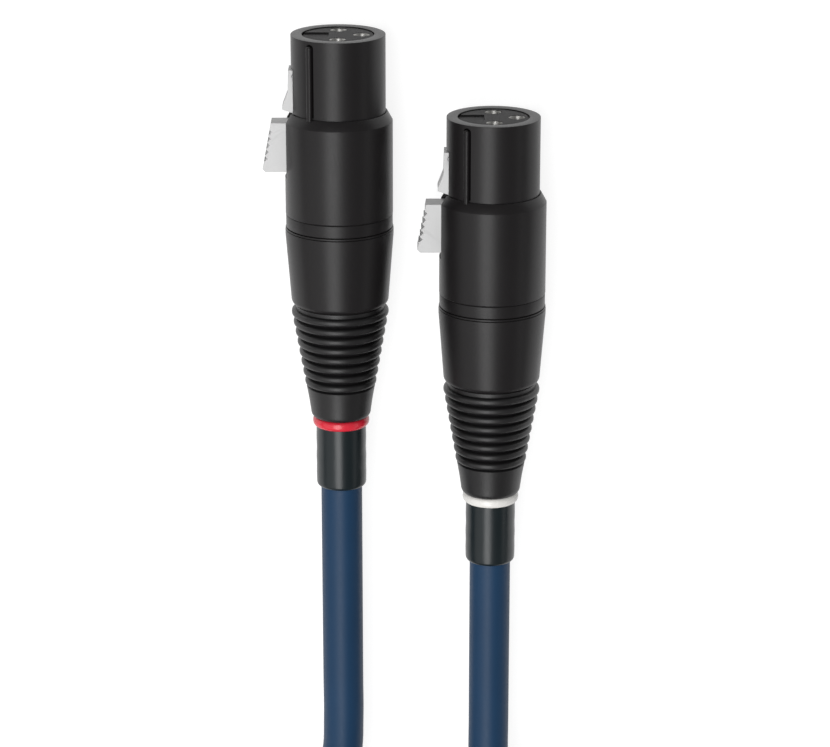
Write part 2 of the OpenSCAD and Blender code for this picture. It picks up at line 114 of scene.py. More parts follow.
# The shell's lip over the nose and its flat front, its line before the band, and the chamfers behind
LIP_LEN = 1.2 * MM
FRONT_FLAT = 0.3 * MM
LINE_HALF = 0.12 * MM
LINE_DEPTH = 0.16 * MM
BAND_CHAMFER = 0.14 * MM
PIN_SHELL_CHAMFER = 0.25 * MM
# The collar's bead: millimetres behind its front, and millimetres inside its largest radius
COLLAR_BEAD = ((0, 0.22), (0.05, 0.05), (0.3, 0.03), (0.38, 0.16), (0.48, 0), (1.3, 0))
# The boot: its spigot in the collar, where its first rib and its plain cone lie as shares of the
# ribs' pitch, the fullness of its ribs, its cone and its rounded end
SPIGOT_LEN = 3 * MM
FIRST_RIB_SHARE = 0.75
CONE_SHARE = 0.55
RIB_FULLNESS = 2.4
RIB_SHARES = (-1, -0.95, -0.85, -0.7, -0.5, -0.25, 0, 0.25, 0.5, 0.7, 0.85, 0.95, 1)
CONE_LEN = 2.3 * MM
CONE_DROP = 0.1 * MM
BOOT_ROUND_LEN = 1.1 * MM
BOOT_ROUND_DEPTH = 0.75 * MM
# The shrink sleeve has drawn down a little unevenly: shares of its length and swells in millimetres
SHRINK_SWELLS = ((0.2, 0.0), (0.32, 0.03), (0.45, -0.02), (0.58, 0.04), (0.7, 0.0), (0.82, 0.03))
SHRINK_ROUND_LEN = 0.7 * MM
SHRINK_ROUND_DEPTH = 0.48 * MM
# The pin shell's catch window, and the strap's end pressed down on the hank
WINDOW_Z = 11.5 * MM
WINDOW_LEN = 3 * MM
WINDOW_DEPTH = 2 * MM
STRAP_END_LEN = 24 * MM
STRAP_END_T = 1.0 * MM
STRAP_END_SIDE = 4 * MM
STRAP_END_SINK = 0.05 * MM

# A wave texture at this scale repeats once in a unit
WAVE_SCALE = 0.314

# The camera, from the first socket's rim and axis
CAMERA_SIDE = 13.1 * MM
CAMERA_AHEAD = 101.8 * MM
CAMERA_HEIGHT = 489 * MM
CAMERA_TILT = math.radians(18.4)
CAMERA_LENS = 126.6

# The stage: each lamp's name, place in metres, size and watts
FLOOR_SIZE = 30
FLOOR_Z = -0.05 * MM
FLOOR_GREY = "#8f8f8f"
FLOOR_GLOW = 0.87
WORLD_LIGHT = 0.2
LAMPS = (
    ("Key", (-0.22, -0.25, 0.93), (0.46, 1.5), 9.4),
    ("Broad", (-0.85, -0.25, 0.6), (0.8, 1.4), 2.4),
    ("Fill", (0.85, -0.1, 0.4), (0.2, 1.2), 0.5),
)


# ---- Colours and sizes that a user would change ----


def linear(hex_colour):
    """Turns an sRGB hex value to linear red, green, blue and full alpha."""
    values = [int(hex_colour[i : i + 2], 16) / 255 for i in (1, 3, 5)]
    return [v / 12.92 if v <= 0.04045 else ((v + 0.055) / 1.055) ** 2.4 for v in values] + [1.0]


def length_of(name, words, mm):
    """A length property, stored in metres."""
    return bpy.props.FloatProperty(
        name=name, description=words, default=mm * MM, subtype="DISTANCE", unit="LENGTH"
    )


def colour_of(name, words, hex_colour):
    """A colour property, stored as linear values."""
    return bpy.props.FloatVectorProperty(
        name=name, description=words, default=linear(hex_colour), size=4, min=0, max=1, subtype="COLOR"
    )


class ConnectorSizes(bpy.types.PropertyGroup):
    """Sizes that the socket and the pin connectors share."""

    nose_d: length_of("Nose diameter", "Outer diameter of the socket's nose", 16.2)
    nose_len: length_of("Nose length", "Length of the nose in front of the shell", 13.4)
    nose_wall: length_of("Nose wall", "Wall of the nose sleeve", 1.9)
    guide_w: length_of("Guide width", "Width of the guide groove", 1.5)
    guide_depth: length_of("Guide depth", "Depth of the guide groove", 0.9)
    guide_start: length_of("Guide start", "Distance from the rim to the groove's rounded end", 0.5)
    guide_angle: bpy.props.FloatProperty(
        name="Guide angle",
        description="Turn of the guide groove from the top",
        default=math.radians(35),
        subtype="ANGLE",
    )
    guide_rib_height: length_of("Guide rib height", "Height of the guide rib over the nose", 0.6)
    guide_rib_share: bpy.props.FloatProperty(
        name="Guide rib share", description="Width of the rib as a share of the groove", default=0.62
    )
    insert_face: length_of("Insert face", "Distance from the rim to the insert's face", 0.15)
    insert_end: length_of("Insert end", "Distance from the rim to the insert's end", 18.2)
    mouth_t: length_of("Mouth wall", "Wall of the insert over the contacts", 0.06)
    keyway_w: length_of("Keyway width", "Width of the insert's keyway", 3.8)
    keyway_depth: length_of("Keyway depth", "Depth of the insert's keyway", 0.3)
    contact_ring_r: length_of("Contact circle", "Radius of the circle the contacts stand on", 4.0)
    contact_r: length_of("Contact radius", "Outer radius of a contact tube", 1.5)
    contact_bore_r: length_of("Contact bore", "Radius of a contact tube's bore", 1.25)
    lead_in_len: length_of("Lead-in", "Depth of the cone at a contact tube's mouth", 0.25)
    shell_d: length_of("Shell diameter", "Outer diameter of the shell", 18.6)
    shell_len: length_of("Shell length", "Length of the shell behind its front", 18.0)
    shell_wall: length_of("Shell wall", "Wall of the shell", 1.0)
    shell_bevel: length_of("Shell cone", "Height of the cone at the shell's front", 1.6)
    band_len: length_of("Band length", "Length of the band behind the shell", 2.3)
    band_step: length_of("Band step", "Depth of the band below the shell", 0.05)
    collar_d: length_of("Collar diameter", "Largest diameter of the collar", 18.8)
    collar_end_d: length_of("Collar end", "Diameter of the collar's rounded end", 17.0)
    collar_len: length_of("Collar length", "Length of the collar", 14.1)
    collar_round: length_of("Collar round", "Radius of the collar's rounded end", 1.2)
    collar_bore_r: length_of("Collar bore", "Radius of the collar's bore", 7.3)
    latch_w: length_of("Latch width", "Width of the latch lever", 4.2)
    pad_len: length_of("Pad length", "Length of the latch's push pad", 8.6)
    pad_back: length_of("Pad height", "How far the pad stands out of the shell", 3.8)


class BootSizes(bpy.types.PropertyGroup):
    """Sizes of the ribbed boot, the coding ring and the shrink sleeve."""

    rib_count: bpy.props.IntProperty(
        name="Ribs", description="Number of ribs on the boot", default=8, min=3, max=12
    )
    rib_pitch: length_of("Rib pitch", "Distance between ribs", 1.82)
    rib_share: bpy.props.FloatProperty(
        name="Rib width share",
        description="Width of a rib as a share of the pitch",
        default=0.76,
        min=0.4,
        max=0.95,
    )
    rib_height: length_of("Rib height", "How far each rib stands out", 0.75)
    rib_first_d: length_of("First rib", "Diameter over the first rib", 17.0)
    rib_last_d: length_of("Last rib", "Diameter over the last rib", 12.6)
    end_len: length_of("End length", "Length of the boot's plain end", 5.6)
    end_d: length_of("End diameter", "Diameter of the boot's end", 10.6)
    ring_d: length_of("Ring diameter", "Outer diameter of the coding ring", 10.0)
    ring_t: length_of("Ring thickness", "Thickness of the coding ring", 1.7)
    sleeve_d: length_of("Sleeve diameter", "Outer diameter of the shrink sleeve", 8.8)
    sleeve_len: length_of("Sleeve length", "Length of the shrink sleeve behind the boot", 13.0)


class CableSizes(bpy.types.PropertyGroup):
    """Sizes of the cables and of the hank."""

    cord_d: length_of("Cable diameter", "Diameter of the cable", 7.3)
    pair_pitch: length_of("Pair pitch", "Distance between the sockets' axes", 26.6)
    pair_stagger: length_of("Pair stagger", "How far the second socket lies behind the first", 14.4)
    hank_back: length_of("Hank distance", "How far the hank's near fold lies behind the first nose", 184.0)
    red_tail_len: length_of("Red tail", "How far the red tail reaches past the hank's far fold", 30.0)
    white_tail_len: length_of("White tail", "How far the white tail reaches past the hank's far fold", 48.0)
    pin_spread: length_of("Pin spread", "Distance of a pin connector's axis from the hank's middle", 22.0)
    fold_r: length_of("Fold radius", "Radius of the inner fold of a hank", 19.7)
    loop_step: length_of("Loop step", "Distance between loops beside each other", 8.5)
    layer_step: length_of("Layer step", "Distance between layers", 7.8)
    run_len: length_of("Run length", "Length of a hank's runs", 55.0)
    waist_pull: length_of("Waist pull", "How far the loops are drawn in at the tie", 8.0)
    tie_w: length_of("Tie width", "Width of the tie", 16.0)
    tie_t: length_of("Tie thickness", "Thickness of the tie", 1.2)


class PartColours(bpy.types.PropertyGroup):
    """Colours of the visible finishes."""

    moulding: colour_of("Moulding", "Black of the shells, noses and collars", "#1b191a")
    insert: colour_of("Insert", "Black of the contact inserts", "#1c1a1b")
    boot: colour_of("Boot", "Black of the ribbed boots", "#161516")
    latch: colour_of("Latch", "Light grey of the latch levers", "#cdcdcd")
    cable: colour_of("Cable", "Blue of the cables' jackets", "#143858")
    shrink: colour_of("Shrink sleeve", "Blue black of the shrink sleeves", "#0a171b")
    red_ring: colour_of("Red ring", "Red of the first lead's coding rings", "#e0283c")
    white_ring: colour_of("White ring", "White of the second lead's coding rings", "#f1efeb")


class Layout:
    """Stations and places in metres, worked out from the three groups of sizes."""

    def __init__(self, scene):
        connector, boot, cable = scene.connector_sizes, scene.boot_sizes, scene.cable_sizes
        self.connector, self.boot, self.cable = connector, boot, cable
        self.shell_z = connector.nose_len
        self.band_z = self.shell_z + connector.shell_len
        self.collar_z = self.band_z + connector.band_len
        self.boot_z = self.collar_z + connector.collar_len
        self.first_rib_z = self.boot_z + boot.rib_pitch * FIRST_RIB_SHARE
        self.last_rib_z = self.first_rib_z + boot.rib_pitch * (boot.rib_count - 1)
        self.cone_z = self.last_rib_z + boot.rib_pitch * CONE_SHARE
        self.boot_end_z = self.cone_z + boot.end_len
        self.sleeve_end_z = self.boot_end_z + boot.sleeve_len
        self.nose_r = connector.nose_d / 2
        self.nose_bore_r = self.nose_r - connector.nose_wall
        self.shell_r = connector.shell_d / 2
        self.shell_bore_r = self.shell_r - connector.shell_wall
        self.cord_r = cable.cord_d / 2
        self.sleeve_r = boot.sleeve_d / 2
        self.axis_z = max(connector.shell_d, connector.collar_d) / 2
        # The latch's slot: from in front of the catch to behind the pad, which swings back as it goes in
        self.slot_front_z = connector.nose_len * LATCH_FRONT_SHARE - HOLE_PLAY
        self.slot_end_z = self.shell_z + PAD_GAP + connector.pad_len + PAD_SWING
        self.slot_w = connector.latch_w + 2 * HOLE_PLAY
        self.pad_r = self.shell_r + connector.pad_back
        red_x = -cable.pair_pitch / 2 + (self.shell_r + connector.pad_back - connector.collar_d / 2) / 2
        white_x = red_x + cable.pair_pitch
        red_y = (cable.pair_stagger + self.sleeve_end_z) / 2
        self.hank_x = (red_x + white_x) / 2
        self.near_fold_y = red_y - cable.hank_back
        self.far_fold_y = self.near_fold_y - cable.run_len
        self.waist_y = self.near_fold_y - cable.run_len / 2
        self.outer_r = cable.fold_r + cable.loop_step
        self.layer_z = [cable.tie_t + HOLE_PLAY + self.cord_r + i * cable.layer_step for i in range(4)]
        pins_y = self.far_fold_y - self.sleeve_end_z
        # Each connector: its axis's x, its front rim's y, and the way its stations run along Y
        self.places = {
            "red": (red_x, red_y, -1),
            "white": (white_x, red_y - cable.pair_stagger, -1),
            "red_pin": (self.hank_x - cable.pin_spread, pins_y - cable.red_tail_len, 1),
            "white_pin": (self.hank_x + cable.pin_spread, pins_y - cable.white_tail_len, 1),
        }

    def rib_r(self, z):
        """Radius over the boot's ribs at a station."""
        share = (z - self.first_rib_z) / (self.last_rib_z - self.first_rib_z)
        return (self.boot.rib_first_d + (self.boot.rib_last_d - self.boot.rib_first_d) * share) / 2


# ---- Modelling by operators ----


def only(piece):
    """Selects one object alone and makes it active."""
    bpy.ops.object.select_all(action="DESELECT")
    piece.select_set(True)
    bpy.context.view_layer.objects.active = piece


def fresh():
    """Deselects all, so that the next primitive is made alone."""
    bpy.ops.object.select_all(action="DESELECT")


def named(piece, name):
    """Names an object and its mesh."""
    piece.name = name
    piece.data.name = name
    return piece


def settle(piece):
    """Moves an object's place into its mesh."""
    only(piece)
    bpy.ops.object.transform_apply(location=True, rotation=True, scale=True)


def lathe(name, place, axis_z, profile):
    """Turns a closed profile of stations and radii by extruding and scaling one circle along Y."""
    x, rim_y, way = place
    station, radius = profile[0]
    fresh()
    bpy.ops.mesh.primitive_circle_add(
        vertices=RING_STEPS,
        radius=radius,
        location=(x, rim_y + way * station, axis_z),
        rotation=(math.pi / 2, 0, 0),
    )
    piece = named(bpy.context.object, name)
    bpy.ops.object.mode_set(mode="EDIT")
    for next_station, next_radius in profile[1:] + profile[:1]:
        bpy.ops.mesh.extrude_region_move(
            TRANSFORM_OT_translate={"value": (0, way * (next_station - station), 0)}
        )
        share = next_radius / radius
        bpy.ops.transform.resize(
            value=(share, 1, share), center_override=(x, rim_y + way * next_station, axis_z)
        )
        station, radius = next_station, next_radius
    bpy.ops.mesh.select_all(action="SELECT")
    bpy.ops.mesh.remove_doubles(threshold=0.002 * MM)
    bpy.ops.mesh.normals_make_consistent(inside=False)
    bpy.ops.object.mode_set(mode="OBJECT")
    settle(piece)
    return piece


def rounded(end_z, radius, length, depth, steps=ROUND_STEPS):
    """A quarter of an ellipse that rounds off the end of a turned piece."""
    turns = [math.radians(90 * i / steps) for i in range(steps + 1)]
    return [(end_z - length * (1 - math.sin(a)), radius - depth * (1 - math.cos(a))) for a in turns]


def soften(piece, width, segments=3, angle=28):
    """Rounds the edges sharper than an angle."""
    only(piece)
    bevel = piece.modifiers.new("Edges", "BEVEL")
    bevel.width, bevel.segments = width, segments
    bevel.limit_method, bevel.angle_limit = "ANGLE", math.radians(angle)
    bevel.use_clamp_overlap = True
    bpy.ops.object.modifier_apply(modifier=bevel.name)


def cut(piece, tool):
    """Cuts one object by another and deletes the tool."""
    only(piece)
    boolean = piece.modifiers.new("Cut", "BOOLEAN")
    boolean.operation, boolean.solver, boolean.object = "DIFFERENCE", "EXACT", tool
    bpy.ops.object.modifier_apply(modifier=boolean.name)
    only(tool)
    bpy.ops.object.delete()


def smooth(piece, angle=32):
    """Shades the faces smooth, apart from edges sharper than an angle."""
    only(piece)
    bpy.ops.object.shade_smooth_by_angle(angle=math.radians(angle))


def side_block(place, axis_z, outer_r, inner_r, first_z, last_z, width):
    """A block on a connector's latch side, between two radii and two stations."""
    x, rim_y, way = place
    fresh()
    bpy.ops.mesh.primitive_cube_add(
        size=1,
        location=(x - (outer_r + inner_r) / 2, rim_y + way * (first_z + last_z) / 2, axis_z),
        scale=(outer_r - inner_r, last_z - first_z, width),
    )
    return bpy.context.object


def guide_block(layout, low_r, high_r, first_z, last_z, width):
    """A block along the nose at the guide's turn, between two radii and two stations."""
    x, rim_y, _ = layout.places["red"]
    turn, middle_r = layout.connector.guide_angle, (low_r + high_r) / 2
    fresh()
    bpy.ops.mesh.primitive_cube_add(
        size=1,
        location=(
            x - math.sin(turn) * middle_r,
            rim_y - (first_z + last_z) / 2,
            layout.axis_z + math.cos(turn) * middle_r,
        ),
        rotation=(0, -turn, 0),
        scale=(width, last_z - first_z, high_r - low_r),
    )
    return bpy.context.object


def bar(place, axis_z, radius, first_z, last_z, sides):
    """A round bar along an axis between two stations."""
    x, rim_y, way = place
    fresh()
    bpy.ops.mesh.primitive_cylinder_add(
        vertices=sides,
        radius=radius,
        depth=last_z - first_z,
        location=(x, rim_y + way * (first_z + last_z) / 2, axis_z),
        rotation=(math.pi / 2, 0, 0),
    )
    return bpy.context.object


def copy_to(piece, name, layout, place_name):
    """Copies a piece of the first socket to another connector, with its own mesh."""
    home_x, home_y, _ = layout.places["red"]
    x, rim_y, way = layout.places[place_name]
    only(piece)
    bpy.ops.object.duplicate(linked=False)
    copy = named(bpy.context.object, name)
    if way > 0:
        bpy.ops.transform.rotate(
            value=math.pi, orient_axis="X", center_override=(home_x, home_y, layout.axis_z)
        )
    bpy.ops.transform.translate(value=(x - home_x, rim_y - home_y, 0))
    settle(copy)
    return copy


def dress(piece, material):
    """Gives a piece one material."""
    piece.data.materials.clear()
    piece.data.materials.append(material)


def stand_for(piece, node, body=ROOT_BODY):
    """Rides a piece on its body in place of a node."""
    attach(piece, body)
    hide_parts(node)


def spread(layout, first, part, node, others=("white", "red_pin", "white_pin")):
    """Copies the first socket's piece to other connectors and rides each one, in place of its node."""
    pieces = {"red": first}
    for place_name in others:
        pieces[place_name] = copy_to(first, f"{place_name}_{part}", layout, place_name)
    for place_name, piece in pieces.items():
        stand_for(piece, f"{place_name}_{node}")
    return pieces


def refined(name, node, width, material, body=ROOT_BODY):
    """A copy of a node with merged faces and rounded edges, in place of it."""
    only(frame["nodes"][node])
    bpy.ops.object.duplicate(linked=False)
    piece = named(bpy.context.object, name)
    only(piece)
    bpy.ops.object.parent_clear(type="CLEAR_KEEP_TRANSFORM")
    bpy.ops.object.mode_set(mode="EDIT")
    bpy.ops.mesh.select_all(action="SELECT")
    bpy.ops.mesh.customdata_custom_splitnormals_clear()
    bpy.ops.mesh.remove_doubles(threshold=0.001 * MM)
    bpy.ops.mesh.mark_sharp(clear=True)
    bpy.ops.mesh.dissolve_limited(angle_limit=math.radians(1))
    bpy.ops.object.mode_set(mode="OBJECT")
    soften(piece, width)
    smooth(piece)
    dress(piece, material)
    stand_for(piece, node, body)
    return piece


# ---- Materials ----


def add_node(tree, kind, settings=None, links=None):
    """Adds a node, sets its properties or input values, and links its inputs to other nodes' outputs."""
    node = tree.nodes.new(kind)
    for key, value in (settings or {}).items():
        if isinstance(key, int) or key in node.inputs:
            node.inputs[key].default_value = value
        else:
            setattr(node, key, value)
    for key, (source, output) in (links or {}).items():
        tree.links.new(source.outputs[output], node.inputs[key])
    return node


def new_material(name):
    """A material with an empty node tree, and its output."""
    material = bpy.data.materials.new(name)
    material.use_nodes = True
    tree = material.node_tree
    tree.nodes.clear()
    return material, tree, add_node(tree, "ShaderNodeOutputMaterial")


def shade(colour, share):
    """A colour made lighter or darker by a share."""
    return [min(1.0, value * share) for value in colour[:3]] + [1.0]


def finish(tree, output, tones, tone_by, relief, relief_by, settings, gloss=None):
    """A shader whose colour and relief follow patterns, and its gloss too where a range is given."""
    tone = add_node(
        tree, "ShaderNodeMix", {"data_type": "RGBA", 6: tones[0], 7: tones[1]}, {0: (tone_by, "Fac")}
    )
    strength, distance = relief
    bump = add_node(
        tree, "ShaderNodeBump", {"Strength": strength, "Distance": distance}, {"Height": relief_by}
    )
    links = {"Base Color": (tone, 2), "Normal": (bump, "Normal")}
    if gloss:
        spread_of_gloss = add_node(
            tree,
            "ShaderNodeMapRange",
            {"From Min": 0.3, "From Max": 0.7, "To Min": gloss[0], "To Max": gloss[1]},
            {"Value": relief_by},
        )
        links["Roughness"] = (spread_of_gloss, "Result")
    shader = add_node(tree, "ShaderNodeBsdfPrincipled", settings, links)
    tree.links.new(shader.outputs[0], output.inputs[0])


def moulded(name, colour, roughness, grain_mm, relief_mm, ior=1.5, stretch=(1, 1, 1), tint=0.12):
    """Moulded or extruded polymer: a tint that drifts over centimetres, and a grain that breaks the gloss."""
    tree, output = new_material(name)[1:]
    coords = add_node(tree, "ShaderNodeTexCoord")
    mapping = add_node(tree, "ShaderNodeMapping", {"Scale": stretch}, {"Vector": (coords, "Object")})
    drift = add_node(
        tree, "ShaderNodeTexNoise", {"Scale": 1 / (9 * MM), "Detail": 3.0}, {"Vector": (coords, "Object")}
    )
    grain = add_node(
        tree,
        "ShaderNodeTexNoise",
        {"Scale": 1 / (grain_mm * MM), "Detail": 4.0, "Roughness": 0.6},
        {"Vector": (mapping, "Vector")},
    )
    tones = shade(colour, 1 - tint), shade(colour, 1 + tint)
    gloss = roughness - 0.05, roughness + 0.05
    finish(tree, output, tones, drift, (0.6, relief_mm * MM), (grain, "Fac"), {"IOR": ior}, gloss)


def metal(name, hex_colour, roughness, grain_mm):
    """Plated or drawn metal: fine turning marks along the axis spread the highlight."""
    tree, output = new_material(name)[1:]
    colour = linear(hex_colour)
    coords = add_node(tree, "ShaderNodeTexCoord")
    mapping = add_node(tree, "ShaderNodeMapping", {"Scale": (1, 0.15, 1)}, {"Vector": (coords, "Object")})
    marks = add_node(
        tree,
        "ShaderNodeTexNoise",
        {"Scale": 1 / (grain_mm * MM), "Detail": 3.0},
        {"Vector": (mapping, "Vector")},
    )
    tones = shade(colour, 0.9), shade(colour, 1.05)
    gloss = roughness - 0.06, roughness + 0.08
    finish(tree, output, tones, marks, (0.4, 0.01 * MM), (marks, "Fac"), {"Metallic": 1.0}, gloss)


def woven_strap():
    """Woven nylon hook-and-loop strap: ribs of yarn across it and a fuzzy loop face."""
    tree, output = new_material("woven_nylon_strap")[1:]
    colour = linear("#18191b")
    coords = add_node(tree, "ShaderNodeTexCoord")
    # Yarns lie 0.9 mm apart, coarser than the real 0.4 mm so that they show
    ribs = add_node(
        tree,
        "ShaderNodeTexWave",
        {
            "wave_type": "BANDS",
            "bands_direction": "Y",
            "Scale": WAVE_SCALE / (0.9 * MM),
            "Distortion": 2.0,
            "Detail": 2.0,
        },
        {"Vector": (coords, "Object")},
    )
    fuzz = add_node(
        tree, "ShaderNodeTexNoise", {"Scale": 1 / (0.35 * MM), "Detail": 5.0}, {"Vector": (coords, "Object")}
    )
    height = add_node(
        tree, "ShaderNodeMath", {"operation": "MULTIPLY_ADD", 1: 0.6}, {0: (ribs, "Fac"), 2: (fuzz, "Fac")}
    )
    tones = shade(colour, 0.6), shade(colour, 2.2)
    settings = {"Roughness": 0.9, "Sheen Weight": 0.4, "Sheen Roughness": 0.4}
    finish(tree, output, tones, fuzz, (0.8, 0.15 * MM), (height, "Value"), settings)


def finishes(scene):
    """All of the materials, made once and then found by name."""
    if "glass_filled_nylon" not in bpy.data.materials:
        colours = scene.part_colours
        # Glass-filled nylon, spark-eroded mould: satin, a soft highlight with a faint tooth
        moulded("glass_filled_nylon", colours.moulding, 0.37, 0.28, 0.006, ior=1.37)
        # Polyamide insert, as moulded: duller than the shell
        moulded("moulded_polyamide_insert", colours.insert, 0.62, 0.25, 0.012, ior=1.36)
        # Thermoplastic elastomer, matt mould: a wide, weak highlight
        moulded("elastomer_boot", colours.boot, 0.42, 0.3, 0.015)
        # Painted zinc lever: nearly even light grey with a low gloss
        moulded("light_grey_lever", colours.latch, 0.42, 0.35, 0.006, tint=0.03)
        # Extruded PVC jacket: satin with a faint drag along the cable
        moulded("pvc_jacket", colours.cable, 0.5, 0.5, 0.02, ior=1.38, tint=0.1)
        # Polyolefin heat-shrink sleeve: glossy, slightly wavy where it has drawn down
        moulded("polyolefin_shrink", colours.shrink, 0.31, 2.4, 0.03, stretch=(1, 0.2, 1), tint=0.1)
        # Polycarbonate coding rings: glossy, from a polished mould
        moulded("red_polycarbonate", colours.red_ring, 0.24, 0.8, 0.004, ior=1.58, tint=0.04)
        moulded("white_polycarbonate", colours.white_ring, 0.26, 0.8, 0.004, ior=1.58, tint=0.02)
        # Acetal clamp, natural white: waxy and a little dull
        moulded("natural_acetal", linear("#e3e1da"), 0.45, 0.4, 0.008, tint=0.03)
        # Silver-plated brass contacts, a little tarnished: grey and half bright, with turning marks
        metal("silver_plated_brass", "#b4b3b0", 0.4, 0.3)
        # Drawn spring steel: grey, brushed along the strip
        metal("drawn_spring_steel", "#b4b5b6", 0.34, 0.3)
        woven_strap()
    return bpy.data.materials


# ---- Routes of the cables, as in the part's source ----


def ease(t):
    """A share that starts and ends slowly."""
    return (1 - math.cos(math.pi * t)) / 2


def hank_route(layout, low, high):
    """Three and a half loops in two layers, about the hank's own middle line."""
    cable = layout.cable
    points = []

    def run(side, r, from_z, to_z, way):
        for i in range(HANK_STEPS):
            share = i / HANK_STEPS
            along = share if way > 0 else 1 - share
            pull = cable.waist_pull * (1 - math.cos(2 * math.pi * along)) / 2
            x, z = side * (r - pull), from_z + (to_z - from_z) * ease(share)
            points.append((x, layout.near_fold_y - cable.run_len * along, z))

    def fold(end_y, way, from_x, to_x, z):
        centre, r = (from_x + to_x) / 2, (from_x - to_x) / 2
        for i in range(HANK_STEPS):
            turn = math.pi * i / HANK_STEPS
            points.append((centre + r * math.cos(turn), end_y - way * abs(r) * math.sin(turn), z))

    outer, inner, near, far = layout.outer_r, cable.fold_r, layout.near_fold_y, layout.far_fold_y
    run(-1, outer, low, low, 1)
    fold(far, 1, -outer, outer, low)
    run(1, outer, low, low, -1)
    fold(near, -1, outer, -inner, low)
    run(-1, inner, low, low, 1)
    fold(far, 1, -inner, inner, low)
    run(1, inner, low, high, -1)
    fold(near, -1, inner, -inner, high)
    run(-1, inner, high, high, 1)
    fold(far, 1, -inner, outer, high)
    run(1, outer, high, high, -1)
    fold(near, -1, outer, -outer, high)
    run(-1, outer, high, high, 1)
    points.append((-outer, far, high))
    first, end = points[0], points[-1]
    start = (first[0], first[1] + cable.cord_d, first[2])
    return [start] + points + [(end[0], end[1] - cable.cord_d, end[2])]


# Chosen points of a free stretch, as shares: how far along, how far across, how far up
LEAD_SHARES = [
    (0, 0, 0), (0.1, 0, 0), (0.2, 0, 0), (0.3, 0, 0), (0.4, 0, 0.01), (0.48, 0, 0.05),
    (0.56, 0.025, 0.17), (0.64, 0.146, 0.37), (0.72, 0.371, 0.61), (0.8, 0.629, 0.82),
    (0.88, 0.854, 0.95), (0.94, 0.962, 1), (1, 1, 1),
]
TAIL_SHARES = [
    (0, 0, 0), (0.1, 0, 0), (0.22, 0.06, 0.08), (0.36, 0.24, 0.26), (0.5, 0.5, 0.5),
    (0.64, 0.76, 0.74), (0.78, 0.94, 0.92), (0.9, 1, 1), (1, 1, 1),
]


def between(a, b, shares):
    """Points from a to b by listed shares."""
    return [
        (a[0] + (b[0] - a[0]) * across, a[1] + (b[1] - a[1]) * along, a[2] + (b[2] - a[2]) * up)
        for along, across, up in shares
    ]


def cable_route(layout, side):
    """One cable's whole route, from its socket's sleeve to its pin connector's sleeve."""
    turn, low, high = (1, 0, 1) if side == "red" else (-1, 2, 3)
    loops = hank_route(layout, layout.layer_z[low], layout.layer_z[high])
    loops = [(layout.hank_x + turn * x, y, z) for x, y, z in loops]
    x, rim_y, way = layout.places[side]
    start = (x, rim_y + way * layout.sleeve_end_z, layout.axis_z)
    x, rim_y, way = layout.places[side + "_pin"]
    end = (x, rim_y + way * layout.sleeve_end_z, layout.axis_z)
    return between(start, loops[0], LEAD_SHARES) + loops[1:] + between(loops[-1], end, TAIL_SHARES)[1:]


# ---- Operators ----


class CABLEPAIR_OT_camera(bpy.types.Operator):
    """Sets the camera above the sockets, looking back along the leads"""

    bl_idname = "cablepair.camera"
    bl_label = "Camera"

    def execute(self, context):
        layout = Layout(context.scene)
        fresh()
        x, nose_y, _ = layout.places["red"]
        bpy.ops.object.camera_add(
            location=(x + CAMERA_SIDE, nose_y + CAMERA_AHEAD, layout.axis_z + CAMERA_HEIGHT),
            rotation=(-CAMERA_TILT, 0, 0),
        )
        camera = named(bpy.context.object, "Camera")
        camera.data.sensor_width = 36
        camera.data.lens = CAMERA_LENS
        camera.data.clip_start = 0.01
        context.scene.camera = camera
        return {"FINISHED"}


class CABLEPAIR_OT_cables(bpy.types.Operator):
    """Lays both cables: the leads, the hank and the tails"""

    bl_idname = "cablepair.cables"
    bl_label = "Cables"

    def execute(self, context):
        layout = Layout(context.scene)
        materials = finishes(context.scene)
        for side in SIDES:
            route = cable_route(layout, side)
            fresh()
            bpy.ops.curve.primitive_bezier_curve_add(location=(0, 0, 0))
            cable = named(bpy.context.object, side + "_cable")
            cable.data.splines.clear()
            spline = cable.data.splines.new("BEZIER")
            spline.bezier_points.add(len(route) - 1)
            for point, place in zip(spline.bezier_points, route):
                point.co = place
                point.handle_left_type = point.handle_right_type = "AUTO"
            spline.resolution_u = 6
            cable.data.dimensions = "3D"
            cable.data.bevel_depth = layout.cord_r
            cable.data.bevel_resolution = 8
            cable.data.use_fill_caps = True
            dress(cable, materials["pvc_jacket"])
            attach(cable, ROOT_BODY)
            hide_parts(side + "_lead", side + "_hank", side + "_tail")
        return {"FINISHED"}


